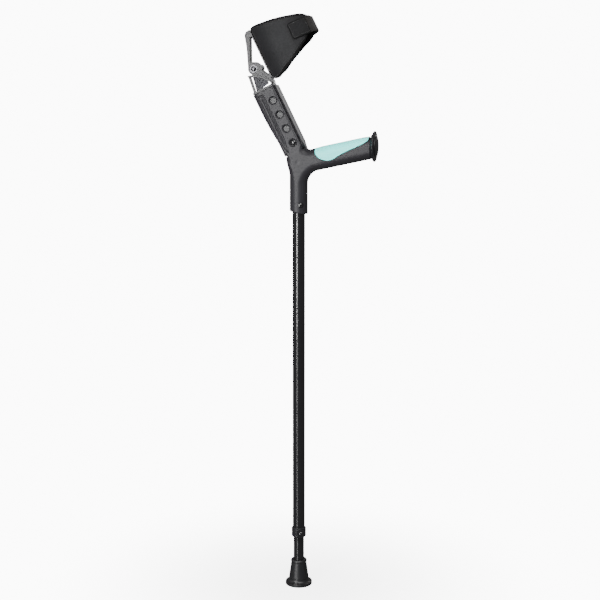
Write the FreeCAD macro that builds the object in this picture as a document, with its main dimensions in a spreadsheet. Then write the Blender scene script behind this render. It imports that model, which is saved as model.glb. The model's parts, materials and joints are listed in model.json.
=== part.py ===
"""Forearm crutch with a sliding, tilting cuff and a telescoping leg. Millimetres, +Z up.

The origin is the centre of the ferrule's tread. The hand grip points along +X, and the forearm leans back
towards -X. Pieces of the forearm side are drawn in the arm frame: its x axis (n) points forward, out of the
forearm's back, its z axis (s) runs up along the forearm, and its origin is the elbow point on the tube's axis.
"""
import FreeCAD, Part
import math
import os
import re

import Sketcher
from FreeCAD import Placement, Rotation, Vector

# ---------------------------------------------------------------------------------------------- sizes
SIZES = {
    # leg
    "ferrule_r": 24.0, "ferrule_rim": 4.8, "ferrule_height": 47.0, "ferrule_top_r": 13.2,
    "ferrule_floor": 9.0, "ferrule_notches": 12, "notch_width": 4.2,
    "washer_thick": 1.5,
    "lower_r": 9.5, "lower_bore_r": 8.0, "lower_top": 335.0,
    "hole_pitch": 25.0, "height_steps": 6, "pin_level": 100.0,
    "upper_r": 11.0, "upper_bore_r": 9.7, "upper_foot": 94.0, "upper_top": 757.0,
    "collar_r": 13.0, "collar_foot": 90.5, "collar_height": 17.5,
    "boss_r": 7.0, "boss_reach": 19.0, "boss_bore_r": 4.7, "boss_cap": 1.5,
    "pin_r": 2.9, "pin_flange_r": 4.5, "pin_stem_r": 2.5, "pin_tip": 6.8,
    "knob_r": 4.2, "knob_rim": 1.0, "knob_dome": 1.8, "button_turn": 27.0, "running_gap": 0.1,
    # handle
    "socket_r": 15.5, "socket_foot": 674.2, "socket_slant": 5.3, "socket_top": 764.0,
    "rivet_level": 690.0, "rivet_r": 2.5, "rivet_head_r": 4.5, "rivet_dome": 1.7,
    "grip_level": 761.5, "grip_rise": 12.45, "grip_tall": 37.8, "grip_wide": 31.0, "grip_round": 14.0,
    "grip_end": 127.0, "cap_r": 26.2, "cap_level": 791.5, "cap_disc_r": 18.0, "cap_dome": 2.6,
    "palm_thick": 3.0, "palm_proud": 0.7,
    # arm frame
    "elbow_level": 783.6, "arm_lean": 26.5,
    "sleeve_back": 27.0, "sleeve_front": 15.0, "sleeve_half": 15.0, "sleeve_top": 116.3,
    "sleeve_wall": 2.6, "sleeve_floor": -2.0, "slide_gap": 0.2,
    "arm_pitch": 26.3, "arm_first": 14.8, "arm_holes": 4, "arm_hole_r": 5.0, "arm_sink_r": 7.2,
    "groove_place": 16.6, "groove_width": 6.4, "groove_deep": 1.3,
    "stem_foot": 0.0, "stem_wall": 2.8, "base_top": 120.6,
    "shoulder_back": -27.6, "shoulder_half": 12.6, "shoulder_gap": 0.7,
    "arch_n": -36.25, "arch_s": 99.26, "arch_r": 53.7, "arch_thick": 3.2, "arch_half": 7.5,
    "pivot_n": -8.0, "pivot_s": 157.0, "tongue_r": 7.6, "tongue_half": 3.9,
    "lobe_r": 10.2, "fork_half": 7.5, "fork_gap": 4.1, "bracket_gap": 0.4,
    "bush_r": 4.0, "bush_bore_r": 2.6, "screw_r": 2.5, "screw_head_r": 4.6, "screw_washer_r": 6.3,
    "snap_r": 4.7, "snap_flange_r": 7.0, "snap_dome": 1.8,
    # cuff
    "cuff_back": 15.8, "cuff_apex": 118.0, "cuff_r": 42.0, "cuff_gap": 18.0,
    "cover_thick": 1.2, "shell_thick": 2.4, "lining_thick": 4.5, "layer_gap": 0.1,
    "spine_half": 9.0, "spine_thick": 2.4, "cuff_rivet_r": 2.0,
    "strap_low": 164.0, "strap_high": 191.5, "strap_thick": 1.8, "tab_thick": 2.4, "strap_gap": 0.4,
    "tab_start": -79.0, "tab_end": -34.0, "strap_hinge_turn": 42.0, "anchor_end": 88.0,
}

doc = FreeCAD.newDocument("forearm_crutch")
sheet = doc.addObject("Spreadsheet::Sheet", "Sizes")
for row, (alias, amount) in enumerate(SIZES.items(), 1):
    sheet.set(f"A{row}", alias)
    sheet.set(f"B{row}", str(amount))
    sheet.setAlias(f"B{row}", alias)
doc.recompute()


def linked(text):
    """A formula in the sheet's aliases, as an expression that FreeCAD can follow."""
    return re.sub(r"[a-z][a-z_0-9]*", lambda m: "Sizes." + m[0] if m[0] in SIZES else m[0], str(text))


def size(text):
    """The present value of a formula in the sheet's aliases."""
    return float(sheet.evalExpression(linked(text)))


def bind(thing, **formulas):
    """Bind properties of a document object to formulas in the sheet's aliases."""
    for name, text in formulas.items():
        thing.setExpression(name, linked(text))


# ---------------------------------------------------------------------------------------------- helpers
def new_body(label):
    return doc.addObject("PartDesign::Body", label)


def origin_part(body, role):
    return next(f for f in body.Origin.OriginFeatures if f.Role == role)


def new_sketch(body, plane, name, shift=(0, 0, 0), turn=(0, 0, 1, 0)):
    """A sketch on one of the body's origin planes, moved and turned in that plane's own axes."""
    sketch = body.newObject("Sketcher::SketchObject", name)
    sketch.AttachmentSupport = (origin_part(body, plane), [""])
    sketch.MapMode = "FlatFace"
    place = Vector(*[size(x) for x in shift])
    sketch.AttachmentOffset = Placement(place, Rotation(Vector(*turn[:3]), size(turn[3])))
    for letter, text in zip("xyz", shift):
        if text:
            sketch.setExpression(f"AttachmentOffset.Base.{letter}", linked(text))
    if turn[3]:
        sketch.setExpression("AttachmentOffset.Rotation.Angle", linked(turn[3]))
    return sketch


def pin_point(sketch, geometry, end, x, y):
    """Fix one point of a sketch at two coordinates bound to the sheet."""
    for kind, axis, text in (("DistanceX", -2, x), ("DistanceY", -1, y)):
        if text in (0, "0"):
            sketch.addConstraint(Sketcher.Constraint("PointOnObject", geometry, end, axis))
            continue
        at = sketch.addConstraint(Sketcher.Constraint(kind, -1, 1, geometry, end, size(text)))
        sketch.setExpression(f"Constraints[{at}]", linked(text))


def loop(sketch, corners):
    """A closed outline of (x, y) corners. A corner's third value is the radius of an arc that starts there:
    positive bulges to the right of the way along the outline, negative to the left."""
    ends, count = [], len(corners)
    for i, corner in enumerate(corners):
        start = Vector(size(corner[0]), size(corner[1]), 0)
        after = corners[(i + 1) % count]
        stop = Vector(size(after[0]), size(after[1]), 0)
        if len(corner) < 3:
            ends.append((sketch.addGeometry(Part.LineSegment(start, stop)), 1, 2))
            continue
        radius = size(corner[2])
        along = stop - start
        aside = Vector(-along.y, along.x, 0).normalize() * math.copysign(1, radius)
        centre = (start + stop) * 0.5 + aside * math.sqrt(max(radius**2 - (along.Length / 2) ** 2, 0))
        first, last = (start, stop) if radius > 0 else (stop, start)
        turn = [math.atan2(p.y - centre.y, p.x - centre.x) for p in (first, last)]
        circle = Part.Circle(centre, Vector(0, 0, 1), abs(radius))
        arc = sketch.addGeometry(Part.ArcOfCircle(circle, *turn))
        ends.append((arc, 1, 2) if radius > 0 else (arc, 2, 1))
    for i, corner in enumerate(corners):
        here, after = ends[i], ends[(i + 1) % count]
        sketch.addConstraint(Sketcher.Constraint("Coincident", here[0], here[2], after[0], after[1]))
        pin_point(sketch, here[0], here[1], corner[0], corner[1])
        if len(corner) == 3:
            text = str(corner[2]).lstrip("-")
            at = sketch.addConstraint(Sketcher.Constraint("Radius", here[0], size(text)))
            sketch.setExpression(f"Constraints[{at}]", linked(text))
    return sketch


def circle(sketch, radius, x="0", y="0"):
    at = Vector(size(x), size(y), 0)
    made = sketch.addGeometry(Part.Circle(at, Vector(0, 0, 1), size(radius)))
    pin_point(sketch, made, 3, x, y)
    held = sketch.addConstraint(Sketcher.Constraint("Radius", made, size(radius)))
    sketch.setExpression(f"Constraints[{held}]", linked(radius))
    return sketch


def box_loop(sketch, left, low, right, high):
    return loop(sketch, [(left, low), (right, low), (right, high), (left, high)])


def pad(body, sketch, length, both=False, back=False, kind="Pad"):
    """A Pad, or a Pocket, of a formula's length: to both sides in equal parts, or to one."""
    made = body.newObject("PartDesign::" + kind, sketch.Name + ("_raised" if kind == "Pad" else "_cut"))
    made.Profile = sketch
    made.SideType = "Symmetric" if both else "One side"
    made.Reversed = back
    bind(made, Length=length)
    return made


def pocket(body, sketch, length, both=False, back=False):
    """A Pocket, checked to take something away."""
    doc.recompute()
    before = body.Shape.Volume
    made = pad(body, sketch, length, both, back, "Pocket")
    doc.recompute()
    if body.Shape.Volume > before - 0.01:
        raise RuntimeError(sketch.Name + " cuts nothing")
    return made


def revolve(body, sketch, kind="Revolution"):
    made = body.newObject("PartDesign::" + kind, sketch.Name + "_turned")
    made.Profile = sketch
    made.ReferenceAxis = (sketch, ["V_Axis"])
    made.Angle = 360
    return made


def turned(label, corners):
    """A body turned about its own Z axis from (radius, height) corners."""
    body = new_body(label)
    revolve(body, loop(new_sketch(body, "XZ_Plane", label + "_profile"), corners))
    return body


def dome(radius, height):
    """The radius of the round of a dome that meets the axis square on."""
    return f"(({radius})^2 + ({height})^2) / (2 * ({height}))"


def in_arm(body):
    """Stand a body drawn in the arm frame in its place."""
    body.Placement = Placement(Vector(0, 0, 0), Rotation(Vector(0, -1, 0), size("arm_lean")))
    body.setExpression("Placement.Base.z", linked("elbow_level"))
    body.setExpression("Placement.Rotation.Angle", linked("arm_lean"))
    return body


def stand(body, level, outward, along=0.0):
    """Lay a turned body's axis along a horizontal direction at a level."""
    body.Placement = Placement(outward * along, Rotation(Vector(0, 0, 1), outward))
    body.setExpression("Placement.Base.z", linked(level))
    return body


def facing_button():
    """The horizontal direction in which the height pin and the socket rivet point."""
    turn = math.radians(size("button_turn"))
    return Vector(math.sin(turn), -math.cos(turn), 0)


ARM = dict(shift=("0", "0", "elbow_level"), turn=(0, -1, 0, "arm_lean"))
SIDE = dict(shift=("0", "elbow_level", "0"), turn=(0, 0, 1, "arm_lean"))


def facing_pin(start="0"):
    """A sketch's place on the XZ plane, turned to face the height pin, at a distance from the axis."""
    return dict(shift=(f"({start}) * sin(button_turn)", "0", f"({start}) * cos(button_turn)"),
                turn=(0, 1, 0, "button_turn"))


# ---------------------------------------------------------------------------------------------- leg
def make_ferrule():
    """Rubber tip: ringed tread, smooth rim, notched flare, cone and beaded mouth, bored for the tube."""
    tread = [("0", "0")]
    for ring in (8.0, 13.0, 18.0):
        tread += [(ring, "0"), (ring, 1.2), (ring + 1.8, 1.2), (ring + 1.8, "0")]
    body = turned("ferrule", tread + [
        ("ferrule_r - 0.9", "0", 0.9), ("ferrule_r", 0.9),
        ("ferrule_r", "ferrule_rim", 1.5), ("ferrule_r - 1.5", "ferrule_rim + 1.5"),
        ("ferrule_r - 3.0", "ferrule_rim + 1.7", -6.0), ("ferrule_r - 6.2", "ferrule_rim + 9.0"),
        ("ferrule_top_r + 0.6", "ferrule_height - 5.0"), ("ferrule_top_r + 0.6", "ferrule_height - 4.2", 2.0),
        ("ferrule_top_r + 0.6", "ferrule_height - 1.0"), ("ferrule_top_r", "ferrule_height"),
        ("lower_r + running_gap / 2", "ferrule_height"), ("lower_r + running_gap / 2", "ferrule_floor"),
        ("0", "ferrule_floor"),
    ])
    sketch = new_sketch(body, "XZ_Plane", "ferrule_notch")
    loop(sketch, [("ferrule_r - 6.6", "ferrule_rim + 10"), ("ferrule_r - 3.4", "ferrule_rim + 1.2"),
                  ("ferrule_r + 2", "ferrule_rim"), ("ferrule_r + 2", "ferrule_rim + 10")])
    notch = pocket(body, sketch, "notch_width", both=True)
    ring = body.newObject("PartDesign::PolarPattern", "ferrule_notches")
    ring.Originals = [notch]
    ring.Axis = (origin_part(body, "Z_Axis"), [""])
    ring.Angle = 360
    bind(ring, Occurrences="ferrule_notches")
    body.Tip = ring
    return body


def make_tube(label, outer, inner, low, high):
    body = new_body(label)
    sketch = new_sketch(body, "XY_Plane", label + "_ring", shift=("0", "0", low))
    circle(circle(sketch, outer), inner)
    pad(body, sketch, f"{high} - ({low})")
    return body


def drill(body, name, radius, level, length, rows=1, pitch="0"):
    """Cut a round hole outwards from the axis in the pin's direction, with copies up the tube."""
    sketch = new_sketch(body, "XZ_Plane", name, **facing_pin())
    circle(sketch, radius, "0", level)
    cut = pocket(body, sketch, length, back=True)
    if rows > 1:
        row = body.newObject("PartDesign::LinearPattern", name + "_row")
        row.Originals = [cut]
        row.Direction = (origin_part(body, "Z_Axis"), [""])
        row.Length = size(pitch) * (rows - 1)
        bind(row, Length=f"({pitch}) * {rows - 1}")
        row.Occurrences = rows
        body.Tip = row


def make_leg():
    washer = make_tube("ferrule_washer", "lower_r - running_gap", "lower_bore_r / 2", "ferrule_floor",
                       "ferrule_floor + washer_thick")
    lower = make_tube("lower_tube", "lower_r", "lower_bore_r", "ferrule_floor + washer_thick", "lower_top")
    drill(lower, "height_holes", "pin_r + running_gap", "pin_level", "lower_r + 5",
          rows=int(size("height_steps")) + 1, pitch="hole_pitch")
    plug = turned("lower_tube_plug", [
        ("0", "lower_top - 14"), ("lower_bore_r - 1", "lower_top - 14"), ("lower_bore_r", "lower_top - 12"),
        ("lower_bore_r", "lower_top"), ("upper_bore_r - running_gap / 2", "lower_top"),
        ("upper_bore_r - running_gap / 2", "lower_top + 7"), ("upper_bore_r - 1.2", "lower_top + 9"),
        ("0", "lower_top + 9")])
    upper = make_tube("upper_tube", "upper_r", "upper_bore_r", "upper_foot", "upper_top")
    drill(upper, "pin_hole", "pin_r + running_gap", "pin_level", "upper_r + 5")
    drill(upper, "rivet_hole", "rivet_r", "rivet_level", "upper_r + 5")
    return [make_ferrule(), washer, lower, plug, upper]


def make_collar():
    """Moulded ring on the tube's foot, with a hollow boss that houses the sprung height pin."""
    body = turned("height_collar", [
        ("lower_r + running_gap", "collar_foot"), ("collar_r - 1.2", "collar_foot"),
        ("collar_r", "collar_foot + 1.2"), ("collar_r", "collar_foot + collar_height - 1.6"),
        ("collar_r - 1.6", "collar_foot + collar_height"), ("upper_r", "collar_foot + collar_height"),
        ("upper_r", "upper_foot"), ("lower_r + running_gap", "upper_foot")])
    for name, radius, start, length, kind in (
            ("boss", "boss_r", "upper_r + 0.6", "boss_reach - upper_r - 0.6", "Pad"),
            ("boss_bore", "boss_bore_r", "upper_r - 0.5", "boss_reach - boss_cap - upper_r + 0.5", "Pocket"),
            ("boss_mouth", "pin_stem_r + running_gap", "upper_r", "boss_reach", "Pocket"),
            ("boss_dish", "knob_r + 0.5", "boss_reach - 0.7", "2", "Pocket")):
        sketch = new_sketch(body, "XZ_Plane", name, **facing_pin(start))
        circle(sketch, radius, "0", "pin_level")
        if kind == "Pad":
            pad(body, sketch, length)
        else:
            pocket(body, sketch, length, back=True)
    return body


def make_height_pin():
    """Spring-loaded pin: round tip, flange for the spring, slim stem and a domed knob outside the boss."""
    reach = "boss_reach - 0.5"
    pin = turned("height_pin", [
        ("0", "pin_tip"), ("pin_r - 1", "pin_tip", 1.0), ("pin_r", "pin_tip + 1"),
        ("pin_r", "upper_r + 0.3"), ("pin_flange_r", "upper_r + 0.3"), ("pin_flange_r", "upper_r + 1.2"),
        ("pin_stem_r", "upper_r + 1.2"), ("pin_stem_r", reach), ("knob_r", reach),
        ("knob_r", reach + " + knob_rim", dome("knob_r", "knob_dome")),
        ("0", reach + " + knob_rim + knob_dome")])
    stand(pin, "pin_level", facing_button())
    return pin


def make_coil(label, radius, wire, low, high, turns):
    """A compression spring along Z between two heights, swept along a helix."""
    start, end = size(low) + size(wire), size(high) - size(wire)
    helix = Part.Wire(Part.makeHelix((end - start) / turns, end - start, size(radius)))
    section = Part.Wire(Part.makeCircle(size(wire), Vector(size(radius), 0, 0), Vector(0, 1, 0)))
    for curve in (helix, section):
        curve.translate(Vector(0, 0, start))
    coil = doc.addObject("Part::Feature", label)
    coil.Shape = helix.makePipeShell([section], True, True)
    return coil


def make_springs():
    pin_spring = make_coil("height_pin_spring", "pin_stem_r + 1.0", 0.45, "upper_r + 1.3",
                           "boss_reach - boss_cap - 0.1", 2.5)
    stand(pin_spring, "pin_level", facing_button())
    wall = "sleeve_half - sleeve_wall - slide_gap - stem_wall"
    snap_spring = make_coil("stem_button_spring", 4.0, 0.45, f"0.1 - ({wall})", f"{wall} - 1.5", 7)
    arm = Placement(Vector(0, 0, size("elbow_level")), Rotation(Vector(0, -1, 0), size("arm_lean")))
    across = Placement(Vector(0, 0, size("arm_first")), Rotation(Vector(1, 0, 0), 90))
    snap_spring.Placement = arm * across
    return [pin_spring, snap_spring]


# ---------------------------------------------------------------------------------------------- handle
def rounded_box(sketch, left, low, right, high, radius):
    """A rectangle with rounded corners, counter-clockwise."""
    return loop(sketch, [
        (f"{left} + {radius}", low), (f"{right} - {radius}", low, radius), (right, f"{low} + {radius}"),
        (right, f"{high} - {radius}", radius), (f"{right} - {radius}", high),
        (f"{left} + {radius}", high, radius), (left, f"{high} - {radius}"),
        (left, f"{low} + {radius}", radius)])


PALM_OUTLINE = [
    (30.0, 812.0), (30.5, 786.5, 40.0), (56.0, 767.6, 14.0), (67.0, 773.5), (86.0, 783.6, -80.0),
    (108.0, 794.0), (123.5, 801.5), (123.5, 822.0),
]


def grip_section(body, name, place, inset="0"):
    """The grip's rounded section, square to its axis, at a distance from the tube's axis."""
    sketch = new_sketch(body, "YZ_Plane", name, turn=(-1, 0, 0, "grip_rise"), shift=(
        "0", f"grip_level + {place} * sin(grip_rise)", f"{place} * cos(grip_rise)"))
    wide, tall = f"(grip_wide / 2 - ({inset}))", f"(grip_tall / 2 - ({inset}))"
    rounded_box(sketch, "-" + wide, "-" + tall, wide, tall, f"(grip_round - ({inset}))")
    return sketch


def trim_grip_end(body, name):
    """Cut the grip off square to X where the end cap sits."""
    sketch = new_sketch(body, "XZ_Plane", name)
    box_loop(sketch, "grip_end", 720, "grip_end + 40", 860)
    pocket(body, sketch, 80, both=True)


def make_handle():
    """One moulding: tube socket, hand grip and the sleeve that takes the cuff's stem."""
    body = new_body("handle_moulding")
    socket = new_sketch(body, "XY_Plane", "socket", shift=("0", "0", "socket_foot"))
    circle(socket, "socket_r")
    pad(body, socket, "socket_top - socket_foot")
    pad(body, grip_section(body, "grip", "2"), "grip_end + 14")
    trim_grip_end(body, "grip_trim")
    sleeve = new_sketch(body, "XY_Plane", "sleeve", shift=("-2 * sin(arm_lean)", "0", "elbow_level + 2"),
                        turn=ARM["turn"])
    rounded_box(sleeve, "-sleeve_back", "-sleeve_half", "sleeve_front", "sleeve_half", "2.5")
    pad(body, sleeve, "sleeve_top - 2")
    root = new_sketch(body, "XY_Plane", "sleeve_root", shift=("0", "0", "socket_top - 22"))
    rounded_box(root, "-socket_r + 0.3", "-socket_r + 0.3", "socket_r - 0.3", "socket_r - 0.3", "12.5")
    blend = body.newObject("PartDesign::AdditiveLoft", "sleeve_blend")
    blend.Profile = sleeve
    blend.Sections = [root]
    blend.Ruled = True
    slant = new_sketch(body, "XZ_Plane", "socket_slant")
    loop(slant, [("-socket_r - 1", "socket_foot - 1"), ("socket_r + 1", "socket_foot - 1"),
                 ("socket_r + 1", "socket_foot"), ("-socket_r - 1", "socket_foot + socket_slant")])
    pocket(body, slant, 60, both=True)
    gusset = new_sketch(body, "XZ_Plane", "gusset")
    loop(gusset, [(10, 730), ("socket_r", 734, -19), (34, 751.2), (34, 765), (10, 765)])
    pad(body, gusset, 22, both=True)
    cavity = new_sketch(body, "XY_Plane", "sleeve_cavity", **ARM)
    box_loop(cavity, "sleeve_wall - sleeve_back", "sleeve_wall - sleeve_half",
             "sleeve_front - sleeve_wall", "sleeve_half - sleeve_wall")
    pocket(body, cavity, "sleeve_top + 5", back=True)
    floor = new_sketch(body, "XY_Plane", "sleeve_floor", **ARM)
    box_loop(floor, "sleeve_wall - sleeve_back", "sleeve_wall - sleeve_half",
             "sleeve_front - sleeve_wall", "sleeve_half - sleeve_wall")
    pocket(body, floor, "-sleeve_floor")
    bore = new_sketch(body, "XY_Plane", "tube_bore", shift=("0", "0", "socket_foot - 2"))
    circle(bore, "upper_r")
    pocket(body, bore, "upper_top - socket_foot + 2", back=True)
    drill(body, "socket_rivet_hole", "rivet_r", "rivet_level", "socket_r + 5")
    return finish_sleeve(body)


def finish_sleeve(body):
    """Countersunk holes in the right-hand face, a groove down both faces, and the palm pad's recess."""
    for index in range(int(size("arm_holes"))):
        place = f"arm_first + {index} * arm_pitch"
        hole = new_sketch(body, "XZ_Plane", f"arm_hole_{index}", **SIDE)
        circle(hole, "arm_hole_r", "0", place)
        pocket(body, hole, "sleeve_half + 5", back=True)
        sink = new_sketch(body, "XZ_Plane", f"arm_sink_{index}", turn=SIDE["turn"],
                          shift=("0", "elbow_level", "sleeve_half"))
        circle(sink, "arm_sink_r", "0", place)
        cut = pocket(body, sink, 1.1)
        cut.TaperAngle = -45
    for side, sign in (("right", 1), ("left", -1)):
        groove = new_sketch(body, "XZ_Plane", "groove_" + side, turn=SIDE["turn"],
                            shift=("0", "elbow_level", f"{sign} * sleeve_half"))
        middle = "groove_place"
        loop(groove, [(f"-{middle} - groove_width / 2", 26), (f"-{middle} + 0.2", 3), (f"-{middle} + 1.6", 3),
                      (f"-{middle} + groove_width / 2", 26), (f"-{middle} + groove_width / 2", 110),
                      (f"-{middle} - groove_width / 2", 110)])
        pocket(body, groove, "groove_deep", back=sign < 0)
    return body


def boolean(kind, label, base, tool):
    made = doc.addObject("Part::" + kind, label)
    made.Base, made.Tool = base, tool
    return made


def make_grip():
    """The handle with its recess, and the soft palm pad that fills the recess and stands a little proud."""
    moulding = make_handle()
    block = new_body("palm_block")
    sketch = new_sketch(block, "XZ_Plane", "palm_outline")
    loop(sketch, PALM_OUTLINE)
    pad(block, sketch, 60, both=True)
    pocket(block, grip_section(block, "palm_floor", "10", "palm_thick"), "grip_end + 20", back=True)
    hull = new_body("palm_hull")
    pad(hull, grip_section(hull, "palm_crown", "10", "-palm_proud"), "grip_end + 14")
    return [boolean("Cut", "handle_body", moulding, block), boolean("Common", "grip_pad", block, hull)]


def make_end_cap():
    """Flanged cap on the grip's end: neck, thin round flange and a low domed disc, turned about X."""
    cap = turned("grip_end_cap", [
        ("0", "grip_end"), (19.6, "grip_end"), (20.4, "grip_end + 0.6", -5.0), ("cap_r - 1.6", "grip_end + 3.0"),
        ("cap_r", "grip_end + 4.4", 1.6), ("cap_r - 1.4", "grip_end + 6.4"),
        ("cap_disc_r + 0.8", "grip_end + 6.8"),
        ("cap_disc_r", "grip_end + 8.6", dome("cap_disc_r", "cap_dome")), ("0", "grip_end + 8.6 + cap_dome")])
    cap.Placement = Placement(Vector(0, 0, 0), Rotation(Vector(0, 0, 1), Vector(1, 0, 0)))
    bind(cap, **{"Placement.Base.z": "cap_level"})
    return cap


def make_socket_rivet():
    rivet = turned("socket_rivet", [
        ("0", "upper_bore_r - 1"), ("rivet_r", "upper_bore_r - 1"), ("rivet_r", "socket_r + 0.1"),
        ("rivet_head_r", "socket_r + 0.1"),
        ("rivet_head_r", "socket_r + 0.5", dome("rivet_head_r", "rivet_dome")),
        ("0", "socket_r + 0.5 + rivet_dome")])
    return stand(rivet, "rivet_level", facing_button())


# ---------------------------------------------------------------------------------------------- stem
def make_stem():
    """Moulded slide of the cuff: hollow box in the sleeve, and a head with strut, arch, post and tongue."""
    body = in_arm(new_body("cuff_stem"))
    edges = [f"{sign}(sleeve_{side} - sleeve_wall - slide_gap)"
             for sign, side in (("-", "back"), ("", "front"))]
    half = "(sleeve_half - sleeve_wall - slide_gap)"
    bar = new_sketch(body, "XY_Plane", "stem_bar", shift=("0", "0", "stem_foot"))
    rounded_box(bar, edges[0], "-" + half, edges[1], half, "1.6")
    pad(body, bar, "base_top - stem_foot")
    shoulder = new_sketch(body, "XY_Plane", "stem_shoulder", shift=("0", "0", "sleeve_top + shoulder_gap"))
    rounded_box(shoulder, "shoulder_back", "-shoulder_half", "11.4", "shoulder_half", "2.0")
    pad(body, shoulder, "base_top - sleeve_top - shoulder_gap")
    strut = new_sketch(body, "XZ_Plane", "stem_strut")
    loop(strut, [("shoulder_back", "base_top - 1"), ("shoulder_back + 3.6", "base_top - 1"), (-20.4, 148.2),
                 (-23.8, 150.6)])
    pad(body, strut, 7, both=True)
    arch = new_sketch(body, "XZ_Plane", "stem_arch")
    loop(arch, [(-23.6, "arch_s + sqrt((arch_r - arch_thick)^2 - (arch_n + 23.6)^2)"),
                (-23.6, "arch_s + sqrt(arch_r^2 - (arch_n + 23.6)^2)", "-arch_r"),
                (11.4, "arch_s + sqrt(arch_r^2 - (11.4 - arch_n)^2)"), (11.4, "base_top - 1"),
                (8.2, "base_top - 1"),
                (8.2, "arch_s + sqrt((arch_r - arch_thick)^2 - (8.2 - arch_n)^2)", "(arch_r - arch_thick)")])
    pad(body, arch, "arch_half * 2", both=True)
    neck = new_sketch(body, "XZ_Plane", "stem_tongue")
    loop(neck, [(-17.0, 147.5), (-6.0, 142.0), ("pivot_n + 6.4", "pivot_s - 3"), ("pivot_n - 6.8", "pivot_s + 2")])
    pad(body, neck, "tongue_half * 2", both=True)
    eye = new_sketch(body, "XZ_Plane", "stem_eye")
    circle(eye, "tongue_r", "pivot_n", "pivot_s")
    pad(body, eye, "tongue_half * 2", both=True)
    bore = new_sketch(body, "XZ_Plane", "stem_pivot_bore")
    circle(bore, "bush_r", "pivot_n", "pivot_s")
    pocket(body, bore, 30, both=True)
    hollow = new_sketch(body, "XY_Plane", "stem_hollow", shift=("0", "0", "stem_foot"))
    box_loop(hollow, edges[0] + " + stem_wall", f"-{half} + stem_wall", edges[1] + " - stem_wall",
             half + " - stem_wall")
    pocket(body, hollow, "base_top - stem_foot - 6", back=True)
    snap = new_sketch(body, "XZ_Plane", "stem_button_hole")
    circle(snap, "snap_r + running_gap", "0", "arm_first")
    pocket(body, snap, "sleeve_half", back=True)
    return body


def make_web():
    """Dark ribbed fan moulded into the window under the arch."""
    body = in_arm(new_body("stem_web"))
    inner = "(arch_r - arch_thick)"
    plate = new_sketch(body, "XZ_Plane", "web_plate")
    left, right = -17.4, 3.4
    loop(plate, [(-22.0, "base_top"), (-20.0, "base_top"), (right, "base_top + 3.8"),
                 (right, f"arch_s + sqrt({inner}^2 - ({right} - arch_n)^2)", inner),
                 (left, f"arch_s + sqrt({inner}^2 - ({left} - arch_n)^2)")])
    pad(body, plate, 4, both=True)
    centre = Vector(size("arch_n"), size("arch_s"), 0)
    foot = Vector(-21.2, size("base_top") + 1.0, 0)
    rib_clear = 1.0
    for index in range(4):
        turn = math.radians(77 - 14 * index)
        along, aside = Vector(math.cos(turn), math.sin(turn), 0), Vector(-math.sin(turn), math.cos(turn), 0)
        toward = foot - centre
        reach = math.sqrt(toward.dot(along) ** 2 - toward.dot(toward) + size(inner) ** 2) - toward.dot(along)
        reach -= rib_clear
        rib = new_sketch(body, "XZ_Plane", f"web_rib_{index}")
        tip, wide = foot + along * reach, 0.7
        near = foot + along * 5
        loop(rib, [(p.x, p.y) for p in (near - aside * wide, tip - aside * wide, tip + aside * wide,
                                        near + aside * wide)])
        pad(body, rib, 6, both=True)
    return body


def make_snap_button():
    """Domed snap button with a flange that keeps it inside the stem."""
    wall = "(sleeve_half - sleeve_wall - slide_gap - stem_wall)"
    body = turned("stem_button", [
        ("0", f"{wall} - 1.3"), ("snap_flange_r", f"{wall} - 1.3"), ("snap_flange_r", f"{wall} - 0.1"),
        ("snap_r", f"{wall} - 0.1"),
        ("snap_r", "sleeve_half - 0.1 - snap_dome", dome("snap_r", "snap_dome")), ("0", "sleeve_half - 0.1")])
    arm = Placement(Vector(0, 0, size("elbow_level")), Rotation(Vector(0, -1, 0), size("arm_lean")))
    across = Placement(Vector(0, 0, size("arm_first")), Rotation(Vector(1, 0, 0), 90))
    body.Placement = arm * across
    return body


# ---------------------------------------------------------------------------------------------- pivot
def on_pivot(body):
    """Lay a turned body's axis on the cuff's pivot, pointing to the right-hand side."""
    arm = Placement(Vector(0, 0, size("elbow_level")), Rotation(Vector(0, -1, 0), size("arm_lean")))
    across = Placement(Vector(size("pivot_n"), 0, size("pivot_s")), Rotation(Vector(1, 0, 0), 90))
    body.Placement = arm * across
    return body


def make_pivot():
    washer_top = "fork_half + 1.0"
    bush = turned("pivot_bush", [
        ("bush_bore_r", "-tongue_half"), ("bush_r", "-tongue_half"), ("bush_r", "tongue_half"),
        ("bush_bore_r", "tongue_half")])
    washer = turned("pivot_washer", [
        ("screw_r + running_gap", "fork_half"), ("screw_washer_r", "fork_half"),
        ("screw_washer_r", washer_top), ("screw_r + running_gap", washer_top)])
    screw = turned("pivot_screw", [
        ("0", "-fork_half - 3.4"), ("screw_r", "-fork_half - 3.4"), ("screw_r", washer_top),
        ("screw_head_r", washer_top), ("screw_head_r", washer_top + " + 1.2", 8.0),
        (1.6, washer_top + " + 2.2"), (1.6, washer_top + " + 0.9"), ("0", washer_top + " + 0.9")])
    nut = turned("pivot_nut", [
        ("screw_r", "-fork_half - 3.2"), ("screw_head_r - 0.6", "-fork_half - 3.2"),
        ("screw_head_r", "-fork_half - 2.6"), ("screw_head_r", "-fork_half"), ("screw_r", "-fork_half")])
    return [on_pivot(part) for part in (bush, washer, screw, nut)]


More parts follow.
